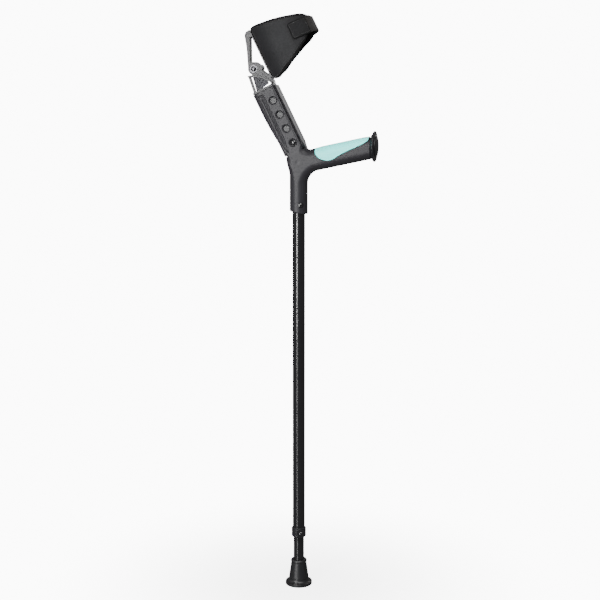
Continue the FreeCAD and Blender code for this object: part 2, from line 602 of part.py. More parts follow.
# ---------------------------------------------------------------------------------------------- cuff
def make_bracket():
    """Cuff carrier: fork lobes on the pivot, rear bar, lower band over the arch, and the cuff's spine."""
    body = in_arm(new_body("cuff_bracket"))
    under = "(arch_r + bracket_gap)"

    def over_arch(at):
        return f"arch_s + sqrt({under}^2 - ({at} - arch_n)^2)"

    spine = "(cuff_back - 0.4 - spine_thick)"
    plate = new_sketch(body, "XZ_Plane", "bracket_plate")
    loop(plate, [
        (-12.2, over_arch("(-12.2)"), "-" + under), (spine + " + 0.6", over_arch(f"({spine} + 0.6)")),
        (spine + " + 0.6", 219.0), (8.0, 218.4, 9.0), (2.2, 213.0), (-3.6, 194.0), (-16.6, 162.2),
        (-17.9, 154.6, 10.4)])
    pad(body, plate, "fork_half * 2", both=True)
    eye = new_sketch(body, "XZ_Plane", "bracket_lobe")
    circle(eye, "lobe_r", "pivot_n", "pivot_s")
    pad(body, eye, "fork_half * 2", both=True)
    window = new_sketch(body, "XZ_Plane", "bracket_window")
    loop(window, [(-8.6, 170.4), (-4.6, 168.4, -13.0), (3.6, 159.6, -6.0), (3.8, 148.6), (8.0, 141.6),
                  (spine, 135.4), (spine, 208.0), (8.8, 206.0)])
    pocket(body, window, 40, both=True)
    slot = new_sketch(body, "XZ_Plane", "bracket_slot")
    circle(slot, "tongue_r + 0.6", "pivot_n", "pivot_s")
    pocket(body, slot, "fork_gap * 2", both=True)
    throat = new_sketch(body, "XZ_Plane", "bracket_throat")
    loop(throat, [("pivot_n", "pivot_s"), (-24.0, 165.0), (-24.0, 140.0), (-3.0, 136.0), (-2.0, 142.0),
                  ("pivot_n + tongue_r - 0.6", "pivot_s - 4")])
    pocket(body, throat, "fork_gap * 2", both=True)
    rail = new_sketch(body, "XY_Plane", "bracket_spine", shift=("0", "0", "131"))
    box_loop(rail, spine, "-spine_half", spine + " + spine_thick", "spine_half")
    pad(body, rail, 86)
    bore = new_sketch(body, "XZ_Plane", "bracket_pivot_bore")
    circle(bore, "screw_r", "pivot_n", "pivot_s")
    pocket(body, bore, 40, both=True)
    rivet_holes(body, "bracket")
    return body


RIVET_LEVELS = (148.0, 175.0, 201.0)


def rivet_holes(body, name):
    for index, level in enumerate(RIVET_LEVELS):
        hole = new_sketch(body, "YZ_Plane", f"{name}_rivet_hole_{index}")
        circle(hole, "cuff_rivet_r", "0", level)
        pocket(body, hole, "cuff_back + 20", back=True)


def make_cuff_rivets():
    """Flat-headed rivets through spine, cover and shell."""
    spine = size("cuff_back") - 0.4 - size("spine_thick")
    inside = size("cuff_back + cover_thick + shell_thick + layer_gap")
    solids = []
    for level in RIVET_LEVELS:
        axis, radius = Vector(1, 0, 0), size("cuff_rivet_r")
        solid = Part.makeCylinder(radius, inside - spine + 2.0, Vector(spine - 1.0, 0, level), axis)
        for start, thick in ((spine - 1.2, 1.2), (inside + 0.15, 1.0)):
            solid = solid.fuse(Part.makeCylinder(radius * 2, thick, Vector(start, 0, level), axis))
        solids.append(solid.removeSplitter())
    rivets = doc.addObject("Part::Feature", "cuff_rivets")
    rivets.Shape = Part.makeCompound(solids)
    return in_arm(rivets)


def stadium(sketch, inset):
    """The cuff's section at an inset from its outer surface: two half rounds joined by short flats."""
    back, front = "(cuff_back + cuff_r)", "(cuff_apex - cuff_r)"
    radius = f"(cuff_r - ({inset}))"
    return loop(sketch, [
        (back, "-" + radius), (front, "-" + radius, radius), (f"cuff_apex - ({inset})", "0", radius),
        (front, radius), (back, radius, radius), (f"cuff_back + ({inset})", "0", radius)])


CUFF_TOP = [(117.0, 190.0), (113.8, 195.6), (107.0, 199.6, 260.0), (60.0, 211.2), (24.0, 217.5), (10.0, 217.5)]
RIGHT_FLAP = [(10.0, 133.0), (19.0, 127.0, 30.0), (40.0, 123.6, 34.0), (62.0, 134.0), (83.0, 149.0),
              (98.0, 158.0), (111.0, 172.0)]
LEFT_FLAP = [(10.0, 133.0), (19.0, 130.0, 60.0), (46.0, 139.5), (86.0, 158.0), (103.0, 166.0), (111.0, 172.0)]


def cuff_layer(label, outer, inner):
    """One layer of the cuff: a ring trimmed to the two flaps' outlines and open between their tips."""
    body = in_arm(new_body(label))
    ring = new_sketch(body, "XY_Plane", label + "_ring", shift=("0", "0", "110"))
    stadium(stadium(ring, outer), inner)
    pad(body, ring, 120)
    for side, flap, back in (("right", RIGHT_FLAP, False), ("left", LEFT_FLAP, True)):
        trim = new_sketch(body, "XZ_Plane", f"{label}_{side}_flap")
        box_loop(trim, -5, 100, 140, 240)
        loop(trim, flap + CUFF_TOP)
        pocket(body, trim, 60, back=not back)
    gap = new_sketch(body, "XY_Plane", label + "_gap", shift=("0", "0", "110"))
    box_loop(gap, "cuff_apex - cuff_r", "-cuff_gap / 2", "cuff_apex + 5", "cuff_gap / 2")
    pocket(body, gap, 120, back=True)
    return body


def make_cuff():
    cover = cuff_layer("cuff_cover", "0", "cover_thick")
    shell = cuff_layer("cuff_shell", "cover_thick + layer_gap", "cover_thick + layer_gap + shell_thick")
    inner = "cover_thick + shell_thick + layer_gap * 2"
    lining = cuff_layer("cuff_lining", inner + " + 1.1", inner + " + lining_thick")
    for body in (cover, shell):
        rivet_holes(body, body.Label)
    return [cover, shell, lining]


# ---------------------------------------------------------------------------------------------- strap
def strap_band(label, start, stop, rise, thick):
    """A band around the cuff's front round, between two angles from the forward direction."""
    body = in_arm(new_body(label))
    sketch = new_sketch(body, "XY_Plane", label + "_band", shift=("0", "0", "strap_low"))
    inner = f"(cuff_r + strap_gap + {rise})"
    outer = f"({inner} + {thick})"

    def at(radius, turn):
        return (f"cuff_apex - cuff_r + {radius} * cos({turn})", f"{radius} * sin({turn})")

    loop(sketch, [at(inner, start), (*at(outer, start), outer), at(outer, stop), (*at(inner, stop), "-" + inner)])
    pad(body, sketch, "strap_high - strap_low")
    return body


def make_strap():
    """Webbing across the front, its hook tab on the right flap, and the end sewn to the left flap."""
    webbing = strap_band("strap_webbing", "(tab_end + 0.3)", "(strap_hinge_turn - 0.5)", "0.1", "strap_thick")
    tab = strap_band("strap_hook_tab", "tab_start", "tab_end", "0", "tab_thick")
    anchor = strap_band("strap_anchor", "strap_hinge_turn", "anchor_end", "0", "strap_thick")
    return [webbing, tab, anchor]


# ---------------------------------------------------------------------------------------------- export
parts = [*make_leg(), make_collar(), make_height_pin(), *make_springs(), *make_grip(), make_end_cap(),
         make_socket_rivet(), make_stem(), make_web(), make_snap_button(), *make_pivot(), make_bracket(),
         make_cuff_rivets(), *make_cuff(), *make_strap()]
doc.recompute()
broken = [o.Label for o in doc.Objects if {"Invalid", "Error"} & set(o.State)]
broken += [p.Label for p in parts if p.Shape.isNull() or not p.Shape.isValid()]
if broken:
    raise RuntimeError("failed: " + ", ".join(broken))
os.makedirs("parts", exist_ok=True)
for part in parts:
    part.Shape.exportStep(f"parts/{part.Label}.step")
    print(part.Label, round(part.Shape.Volume), len(part.Shape.Solids))
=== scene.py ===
"""Looks of a forearm crutch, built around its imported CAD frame. Metres, +Z up, the hand grip along +X.

Shapes near the forearm are worked out in the arm frame, in millimetres: n points forward, y to the left
and s up along the forearm, from the elbow point on the tube's axis.
"""
import itertools
import json
import math

import bpy
import numpy as np
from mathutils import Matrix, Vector


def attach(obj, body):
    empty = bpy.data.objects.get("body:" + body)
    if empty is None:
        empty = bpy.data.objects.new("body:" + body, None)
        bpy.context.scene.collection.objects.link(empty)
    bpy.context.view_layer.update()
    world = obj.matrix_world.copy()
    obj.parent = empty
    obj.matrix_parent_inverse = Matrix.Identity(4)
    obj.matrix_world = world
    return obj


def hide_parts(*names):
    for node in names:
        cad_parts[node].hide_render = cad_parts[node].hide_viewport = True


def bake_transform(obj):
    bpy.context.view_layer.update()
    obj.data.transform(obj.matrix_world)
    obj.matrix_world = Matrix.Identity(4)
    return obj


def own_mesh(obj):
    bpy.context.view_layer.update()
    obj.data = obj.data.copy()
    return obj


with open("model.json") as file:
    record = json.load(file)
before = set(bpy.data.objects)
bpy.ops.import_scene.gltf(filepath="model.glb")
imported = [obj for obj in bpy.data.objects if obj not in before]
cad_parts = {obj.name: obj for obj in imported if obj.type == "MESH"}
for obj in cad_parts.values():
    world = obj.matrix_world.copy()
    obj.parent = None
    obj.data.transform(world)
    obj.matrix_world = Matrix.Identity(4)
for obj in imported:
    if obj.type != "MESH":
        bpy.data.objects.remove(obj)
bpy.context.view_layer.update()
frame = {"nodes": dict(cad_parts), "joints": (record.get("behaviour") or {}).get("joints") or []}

MM = 0.001
JOINTS = {joint["name"]: joint for joint in frame["joints"]}

# ---------------------------------------------------------------------- arm frame
UP_ARM = Vector(JOINTS["cuff_height"]["axis"])
FORWARD = Vector((UP_ARM.z, 0, -UP_ARM.x))
SIN, COS = -UP_ARM.x, UP_ARM.z
PIVOT_N, PIVOT_S = -8.0, 157.0
ELBOW = Vector(JOINTS["cuff_tilt"]["pos_m"]) - (FORWARD * PIVOT_N + UP_ARM * PIVOT_S) * MM
ELBOW_MM = ELBOW.z / MM


def from_arm(points):
    """Rows of (n, y, s) in millimetres to rows of model coordinates."""
    n, y, s = points[..., 0], points[..., 1], points[..., 2]
    return np.stack([n * COS - s * SIN, y, ELBOW_MM + n * SIN + s * COS], -1) * MM


# ---------------------------------------------------------------------- meshes
def new_object(name, verts, faces):
    mesh = bpy.data.meshes.new(name)
    mesh.from_pydata([tuple(v) for v in verts], [], [tuple(f) for f in faces])
    mesh.update()
    mesh.polygons.foreach_set("use_smooth", [True] * len(mesh.polygons))
    made = bpy.data.objects.new(name, mesh)
    bpy.context.scene.collection.objects.link(made)
    return made


# ---------------------------------------------------------------------- solids by distance
def join(a, b, r):
    """Union of two distance fields with a fillet of radius r."""
    return np.maximum(r, np.minimum(a, b)) - np.hypot(np.maximum(r - a, 0), np.maximum(r - b, 0))


def common(a, b, r):
    """Intersection of two distance fields with a round of radius r."""
    return -join(-a, -b, r)


def minus(a, b, r):
    return common(a, -b, r)


def box_field(x, y, half_x, half_y, r):
    """Distance to a rectangle with rounded corners."""
    dx, dy = np.abs(x) - half_x + r, np.abs(y) - half_y + r
    return np.hypot(np.maximum(dx, 0), np.maximum(dy, 0)) + np.minimum(np.maximum(dx, dy), 0) - r


def ease(low, high, x):
    t = np.clip((x - low) / (high - low), 0, 1)
    return t * t * (3 - 2 * t)


def polygon_field(x, y, corners):
    """Signed distance to a polygon, negative inside."""
    nearest, inside = np.full(x.shape, 1e9), np.zeros(x.shape, bool)
    for (ax, ay), (bx, by) in zip(corners, corners[1:] + corners[:1]):
        ex, ey, px, py = bx - ax, by - ay, x - ax, y - ay
        t = np.clip((px * ex + py * ey) / (ex * ex + ey * ey), 0, 1)
        nearest = np.minimum(nearest, np.hypot(px - t * ex, py - t * ey))
        if ay != by:
            inside ^= ((ay > y) != (by > y)) & (x < ax + (y - ay) * ex / ey)
    return np.where(inside, -nearest, nearest)


def curve_through(points, steps=8):
    """A smooth line through (x, y) points, as a Catmull-Rom curve."""
    p = [points[0], *points, points[-1]]
    line = []
    for a, b, c, d in zip(p, p[1:], p[2:], p[3:]):
        for i in range(steps):
            t = i / steps
            line.append(tuple(0.5 * (2 * b[k] + (c[k] - a[k]) * t
                                     + (2 * a[k] - 5 * b[k] + 4 * c[k] - d[k]) * t * t
                                     + (3 * b[k] - a[k] - 3 * c[k] + d[k]) * t**3) for k in range(2)))
    return line + [tuple(points[-1])]


def solid_from_field(name, field, low, high, step, place=from_arm, settle=3):
    """The closed quad mesh of a field's zero surface, by surface nets, settled on to the surface itself."""
    count = [int(math.ceil((b - a) / step)) + 1 for a, b in zip(low, high)]
    axes = [a + step * np.arange(c) for a, c in zip(low, count)]
    d = field(np.stack(np.meshgrid(*axes, indexing="ij"), -1))
    cells = tuple(c - 1 for c in count)
    total, hits = np.zeros(cells + (3,)), np.zeros(cells)
    for axis in range(3):
        for a, b in itertools.product((0, 1), repeat=2):
            start = [a, b]
            start.insert(axis, 0)
            stop = list(start)
            stop[axis] = 1
            first, last = (d[tuple(slice(o, o + c) for o, c in zip(at, cells))] for at in (start, stop))
            crossed = (first < 0) != (last < 0)
            t = np.where(crossed, first / np.where(crossed, first - last, 1), 0)
            for k in range(3):
                total[..., k] += crossed * (start[k] + (t if k == axis else 0))
            hits += crossed
    active = hits > 0
    index = np.full(cells, -1)
    index[active] = np.arange(active.sum())
    where = np.argwhere(active)
    verts = np.array(low) + step * (where + total[active] / hits[active][:, None])
    faces = []
    for axis in range(3):
        u, v = (axis + 1) % 3, (axis + 2) % 3
        inner = [slice(1, -1)] * 3
        inner[axis] = slice(0, -1)
        beyond = list(inner)
        beyond[axis] = slice(1, None)
        first, last = d[tuple(inner)] < 0, d[tuple(beyond)] < 0
        at = np.argwhere(first != last)
        outward = first[tuple(at.T)]
        quad = []
        for du, dv in ((0, 0), (1, 0), (1, 1), (0, 1)):
            cell = at.copy()
            cell[:, u] += du
            cell[:, v] += dv
            quad.append(index[tuple(cell.T)])
        quad = np.stack(quad, -1)
        faces.append(np.where(outward[:, None], quad, quad[:, ::-1]))
    nudge = step * 0.2
    for _ in range(settle):
        here = field(verts)
        slope = [field(verts + nudge * e) - field(verts - nudge * e) for e in np.eye(3)]
        slope = np.stack(slope, -1) / (2 * nudge)
        pull = here[:, None] * slope / np.maximum((slope**2).sum(-1, keepdims=True), 0.25)
        verts = verts - np.clip(pull, -step / 2, step / 2)
    return new_object(name, place(verts), np.concatenate(faces))


# ---------------------------------------------------------------------- camera and light
def look_from(thing, place, target):
    thing.location = place
    thing.rotation_euler = (Vector(target) - Vector(place)).to_track_quat("-Z", "Y").to_euler()
    bpy.context.scene.collection.objects.link(thing)
    return thing


def area_light(name, place, target, width, height, power):
    data = bpy.data.lights.new(name, "AREA")
    data.shape, data.size, data.size_y = "RECTANGLE", width, height
    data.energy = power
    look_from(bpy.data.objects.new(name, data), place, target)


CAMERA_TURN, CAMERA_TILT, CAMERA_DISTANCE, CAMERA_LENS = math.radians(14), math.radians(10), 2.2, 75.5
TARGET_ASIDE, TARGET_HEIGHT = 0.0021, 0.523
WHITE = 11.0  # strength at which the background shows as white
# name, place, target, width, height and power of each area light
LIGHTS = (
    ("strip_high", (-0.75, -2.15, 0.9), (0, 0, 0.9), 0.13, 1.6, 66),
    ("strip_low", (-0.75, -2.15, -0.7), (0, 0, -0.7), 0.13, 1.6, 10),
    ("key", (0.9, -1.7, 2.5), (0, 0, 0.8), 1.5, 1.5, 55),
    ("side", (-1.8, -0.4, 1.3), (0, 0, 0.8), 0.8, 1.4, 5),
    ("back", (0.6, 1.9, 1.6), (0, 0, 0.8), 1.0, 1.0, 10),
)
SOFT_LIGHT, SOFT_LIGHT_IN_GLOSS = 0.55, 0.16
FLOOR_HALF = 40


def make_camera():
    """A short telephoto view, 14 degrees round from the side and 10 degrees down."""
    turn, tilt = CAMERA_TURN, CAMERA_TILT
    target = Vector((TARGET_ASIDE * math.cos(turn), TARGET_ASIDE * math.sin(turn), TARGET_HEIGHT))
    data = bpy.data.cameras.new("camera")
    data.lens = CAMERA_LENS
    away = Vector((math.sin(turn) * math.cos(tilt), -math.cos(turn) * math.cos(tilt), math.sin(tilt)))
    made = bpy.data.objects.new("camera", data)
    bpy.context.scene.camera = look_from(made, target + away * CAMERA_DISTANCE, target)


def make_studio():
    """An even white surround, weaker in reflections, and the area lights."""
    world = bpy.data.worlds.new("studio")
    bpy.context.scene.world = world
    world.use_nodes = True
    tree = world.node_tree
    tree.nodes.clear()
    out = tree.nodes.new("ShaderNodeOutputWorld")
    mix = tree.nodes.new("ShaderNodeMixShader")
    path = tree.nodes.new("ShaderNodeLightPath")
    soft, seen = (tree.nodes.new("ShaderNodeBackground") for _ in range(2))
    seen.inputs["Strength"].default_value = WHITE
    for background in (soft, seen):
        background.inputs["Color"].default_value = (1, 1, 1, 1)
    fall = tree.nodes.new("ShaderNodeMapRange")
    for socket, value in (("To Min", SOFT_LIGHT), ("To Max", SOFT_LIGHT_IN_GLOSS)):
        fall.inputs[socket].default_value = value
    tree.links.new(path.outputs["Is Glossy Ray"], fall.inputs["Value"])
    tree.links.new(fall.outputs["Result"], soft.inputs["Strength"])
    tree.links.new(path.outputs["Is Camera Ray"], mix.inputs[0])
    tree.links.new(soft.outputs[0], mix.inputs[1])
    tree.links.new(seen.outputs[0], mix.inputs[2])
    tree.links.new(mix.outputs[0], out.inputs["Surface"])
    for light in LIGHTS:
        area_light(*light)


def make_floor():
    """A pale floor that takes the shade close to the foot and fades into the background."""
    corners = [(x * FLOOR_HALF, y * FLOOR_HALF, 0) for x, y in ((-1, -1), (1, -1), (1, 1), (-1, 1))]
    floor = new_object("floor", corners, [(0, 1, 2, 3)])
    made = bpy.data.materials.new("floor_paper")
    made.use_nodes = True
    tree = made.node_tree
    tree.nodes.clear()
    out = tree.nodes.new("ShaderNodeOutputMaterial")
    mix = tree.nodes.new("ShaderNodeMixShader")
    paper = tree.nodes.new("ShaderNodeBsdfDiffuse")
    paper.inputs["Color"].default_value = (0.92, 0.92, 0.92, 1)
    glow = tree.nodes.new("ShaderNodeEmission")
    glow.inputs["Strength"].default_value = WHITE
    where = tree.nodes.new("ShaderNodeNewGeometry")
    length = tree.nodes.new("ShaderNodeVectorMath")
    length.operation = "LENGTH"
    reach = tree.nodes.new("ShaderNodeMapRange")
    reach.interpolation_type = "SMOOTHSTEP"
    for socket, value in (("From Min", 0.03), ("From Max", 0.5), ("To Min", 0.45), ("To Max", 1.0)):
        reach.inputs[socket].default_value = value
    tree.links.new(where.outputs["Position"], length.inputs[0])
    tree.links.new(length.outputs["Value"], reach.inputs["Value"])
    tree.links.new(reach.outputs["Result"], mix.inputs[0])
    tree.links.new(paper.outputs[0], mix.inputs[1])
    tree.links.new(glow.outputs[0], mix.inputs[2])
    tree.links.new(mix.outputs[0], out.inputs["Surface"])
    floor.data.materials.append(made)
    floor.visible_diffuse = False
    floor.visible_glossy = False
    floor.visible_shadow = False


make_camera()
make_studio()
make_floor()


# ---------------------------------------------------------------------- materials
WAVE_AT_ONE = math.pi / 10  # length of one band of a wave texture whose scale is 1


def surface(name, colour, roughness, grain=0.0, grain_size=1.0, tone=0.15, tone_size=20.0, rough_swing=0.08,
            pattern="noise", **constants):
    """A procedural material: tone and roughness varied by noise, and a grain raised as bump.

    Sizes are in millimetres. grain is the bump's height, and its pattern is noise, cells or a weave."""
    made = bpy.data.materials.new(name)
    made.use_nodes = True
    tree = made.node_tree
    shader = tree.nodes["Principled BSDF"]
    for socket, value in constants.items():
        shader.inputs[socket.replace("_", " ").title().replace("Ior", "IOR")].default_value = value
    place = tree.nodes.new("ShaderNodeTexCoord")

    def noise(size, detail=3.0):
        node = tree.nodes.new("ShaderNodeTexNoise")
        node.inputs["Scale"].default_value = 1 / (size * MM)
        node.inputs["Detail"].default_value = detail
        tree.links.new(place.outputs["Object"], node.inputs["Vector"])
        return node

    ramp = tree.nodes.new("ShaderNodeValToRGB")
    for element, factor, at in zip(ramp.color_ramp.elements, (1 - tone, 1 + tone), (0.3, 0.7)):
        element.position = at
        element.color = (*(min(c * factor, 1.0) for c in colour), 1)
    tree.links.new(noise(tone_size).outputs["Fac"], ramp.inputs["Fac"])
    tree.links.new(ramp.outputs["Color"], shader.inputs["Base Color"])
    spread = tree.nodes.new("ShaderNodeMapRange")
    for socket, value in (("From Min", 0.3), ("From Max", 0.7), ("To Min", roughness - rough_swing),
                          ("To Max", roughness + rough_swing)):
        spread.inputs[socket].default_value = value
    tree.links.new(noise(tone_size / 6).outputs["Fac"], spread.inputs["Value"])
    tree.links.new(spread.outputs["Result"], shader.inputs["Roughness"])
    if grain:
        bump = tree.nodes.new("ShaderNodeBump")
        bump.inputs["Strength"].default_value = 1.0
        bump.inputs["Distance"].default_value = grain * MM
        if pattern == "noise":
            height = noise(grain_size, 2.0).outputs["Fac"]
        elif pattern == "weave":
            yarns = []
            for direction in "XY":
                yarn = tree.nodes.new("ShaderNodeTexWave")
                yarn.bands_direction = direction
                yarn.inputs["Scale"].default_value = WAVE_AT_ONE / (grain_size * MM)
                tree.links.new(place.outputs["UV"], yarn.inputs["Vector"])
                yarns.append(yarn.outputs["Fac"])
            cross = tree.nodes.new("ShaderNodeMath")
            cross.operation = "MULTIPLY"
            for socket, yarn in zip(cross.inputs, yarns):
                tree.links.new(yarn, socket)
            height = cross.outputs[0]
        else:
            cell = tree.nodes.new("ShaderNodeTexVoronoi")
            cell.feature = "SMOOTH_F1"
            cell.inputs["Scale"].default_value = 1 / (grain_size * MM)
            tree.links.new(place.outputs["Object"], cell.inputs["Vector"])
            height = cell.outputs["Distance"]
        tree.links.new(height, bump.inputs["Height"])
        tree.links.new(bump.outputs["Normal"], shader.inputs["Normal"])
    return made


def paint(thing, *materials):
    thing.data.materials.clear()
    for material in materials:
        thing.data.materials.append(material)
    return thing


TUBE = surface("tube_lacquer", (0.007, 0.007, 0.008), 0.2, grain=0.001, grain_size=1.5,
               tone_size=60.0, rough_swing=0.01, specular_ior_level=0.6)
CHARCOAL = surface("charcoal_moulding", (0.016, 0.0152, 0.0184), 0.46, grain=0.012, grain_size=0.5,
                   tone=0.05, tone_size=30.0, rough_swing=0.02, specular_ior_level=0.28)
DARK = surface("dark_moulding", (0.01, 0.01, 0.012), 0.4, grain=0.008, grain_size=0.5, tone=0.06,
               tone_size=30.0, rough_swing=0.02, specular_ior_level=0.35)
WEB = surface("blue_black_moulding", (0.004, 0.004, 0.011), 0.42, grain=0.008, grain_size=0.5,
              tone_size=30.0, rough_swing=0.02, specular_ior_level=0.25)
POLISHED = surface("polished_black", (0.006, 0.006, 0.007), 0.12, rough_swing=0.02, coat_weight=0.6)
RUBBER = surface("black_rubber", (0.009, 0.009, 0.01), 0.4, grain=0.015, grain_size=0.6, rough_swing=0.04)
STEEL = surface("plated_steel", (0.5, 0.5, 0.49), 0.32, grain=0.004, grain_size=0.3, metallic=1.0)
OXIDE = surface("black_oxide_steel", (0.06, 0.06, 0.064), 0.3, grain=0.004, grain_size=0.4,
                rough_swing=0.03, metallic=1.0)
ACETAL = surface("natural_acetal", (0.62, 0.61, 0.56), 0.4, grain=0.01, grain_size=0.6, tone=0.05)
FABRIC = surface("cuff_knit", (0.009, 0.0088, 0.0099), 0.62, grain=0.05, grain_size=0.6, tone=0.2,
                 tone_size=25.0, rough_swing=0.03, specular_ior_level=0.2, sheen_weight=0.08,
                 sheen_roughness=0.4)
BLACK_FABRIC = surface("black_binding", (0.003, 0.003, 0.0034), 0.8, grain=0.06, grain_size=0.5,
                       sheen_weight=0.03, specular_ior_level=0.15)
TAB = surface("tab_fabric", (0.007, 0.007, 0.0078), 0.8, grain=0.12, grain_size=0.9, pattern="weave",
              sheen_weight=0.06, specular_ior_level=0.25)
WEBBING = surface("strap_webbing_weave", (0.013, 0.0112, 0.0105), 0.75, grain=0.2, grain_size=1.3,
                  pattern="weave", sheen_weight=0.08, specular_ior_level=0.3)
THREAD = surface("sewing_thread", (0.012, 0.012, 0.012), 0.6, grain=0.03, grain_size=0.2,
                 sheen_weight=0.2)
PALM = surface("palm_rubber", (0.17, 1.0, 0.92), 0.5, grain=0.08, grain_size=0.9, pattern="cells",
               tone=0.03, sheen_weight=0.35, sheen_roughness=0.4)

FINISHES = {
    TUBE: ("upper_tube", "lower_tube"),
    CHARCOAL: ("handle_body",),
    DARK: ("cuff_stem", "cuff_bracket", "grip_end_cap", "height_collar", "cuff_shell"),
    WEB: ("stem_web",),
    POLISHED: ("stem_button", "height_pin", "socket_rivet"),
    RUBBER: ("ferrule",),
    STEEL: ("ferrule_washer", "height_pin_spring", "stem_button_spring"),
    OXIDE: ("pivot_screw", "pivot_nut", "pivot_washer", "cuff_rivets"),
    ACETAL: ("pivot_bush", "lower_tube_plug"),
    FABRIC: ("cuff_cover", "strap_hook_tab"),
    BLACK_FABRIC: ("cuff_lining", "strap_webbing", "strap_anchor"),
    PALM: ("grip_pad",),
}
for finish, names in FINISHES.items():
    for name in names:
        paint(frame["nodes"][name], finish)

# ---------------------------------------------------------------------- handle
SOCKET_R, SOCKET_LOW, SOCKET_SLANT = 15.5, 674.2, 5.3
GRIP_LEVEL, GRIP_RISE, GRIP_END = 761.5, math.radians(12.45), 127.0
GRIP_HALF_WIDE, GRIP_HALF_TALL = 15.5, 18.9
SOCKET_TOP, GRIP_START, GRIP_ROUND = 762.0, -3.0, 14.0
SLEEVE_MIDDLE, SLEEVE_HALF, SLEEVE_SIDE, SLEEVE_LOW, SLEEVE_TOP = -6.6, 21.6, 15.0, -20.0, 116.3
HEEL_X, HEEL_Z, HEEL_LEAN_X, HEEL_LEAN_Z, HEEL_ROUND = -30.5, 787.0, -0.766, -0.643, 14.0
FIRST_HOLE, HOLE_PITCH, HOLE_COUNT, HOLE_R, HOLE_RIM_R, WALL_INSIDE = 14.8, 26.3, 4, 5.0, 7.2, 5
TUBE_BORE_R, TUBE_BORE_TOP = 11.0, 757.0
SLIDE_MIDDLE, SLIDE_HALF_DEEP, SLIDE_HALF_WIDE, SLIDE_FLOOR = -6.0, 18.4, 12.4, -2.0


def model_xz(n, s):
    """The model's x and z, in millimetres, of points in the arm frame."""
    return n * COS - s * SIN, ELBOW_MM + n * SIN + s * COS


def grip_profile(x, z):
    """Distance along the grip's axis, and height over it."""
    rise = z - GRIP_LEVEL
    return (x * math.cos(GRIP_RISE) + rise * math.sin(GRIP_RISE),
            rise * math.cos(GRIP_RISE) - x * math.sin(GRIP_RISE))


def handle_outside(n, y, s):
    """The moulding's outer skin: socket, grip and sleeve drawn as one side view, then rounded in depth."""
    x, z = model_xz(n, s)
    along, across = grip_profile(x, z)
    socket = common(np.abs(x) - SOCKET_R, z - SOCKET_TOP, 1.0)
    grip = common(np.abs(across) - GRIP_HALF_TALL, GRIP_START - along, 1.0)
    heel = (x - HEEL_X) * HEEL_LEAN_X + (z - HEEL_Z) * HEEL_LEAN_Z
    sleeve = common(np.abs(n - SLEEVE_MIDDLE) - SLEEVE_HALF, SLEEVE_LOW - s, 1.0)
    sleeve = common(sleeve, heel, HEEL_ROUND)
    side = join(socket, grip, 18.0)
    side = join(side, sleeve, 4.0 + 24.0 * ease(4.0, -8.0, x))
    soft = 3.0 + 11.5 * ease(14.0, -8.0, s)
    depth = np.abs(y) - (GRIP_HALF_WIDE - (GRIP_HALF_WIDE - SLEEVE_SIDE) * ease(-8.0, 14.0, s))
    skin = common(side, depth, soft)
    slope = SOCKET_SLANT / (2 * SOCKET_R)
    foot = (SOCKET_LOW + (SOCKET_R - x) * slope - z) / math.hypot(1, slope)
    skin = common(skin, foot, 1.4)
    skin = common(skin, x - GRIP_END, 0.8)
    return common(skin, s - SLEEVE_TOP, 1.0)


PALM_BACK, PALM_FRONT, PALM_ABOVE = 30.2, 123.2, 825.0


def palm_line():
    """The palm pad's outline in the side view: deep behind, tapering forwards, closed above the grip."""
    edge = [(PALM_BACK, 789), (31.5, 780), (37, 772.5), (45, 768.6), (54, 767.4), (63, 769.8),
            (74, 776.6), (88, 784), (104, 791.2), (116, 797.4), (PALM_FRONT, 802.5)]
    return curve_through(edge) + [(PALM_FRONT, PALM_ABOVE), (PALM_BACK, PALM_ABOVE)]


PALM_LINE = palm_line()


def grip_skin(x, y, z):
    return box_field(y, grip_profile(x, z)[1], GRIP_HALF_WIDE, GRIP_HALF_TALL, GRIP_ROUND)


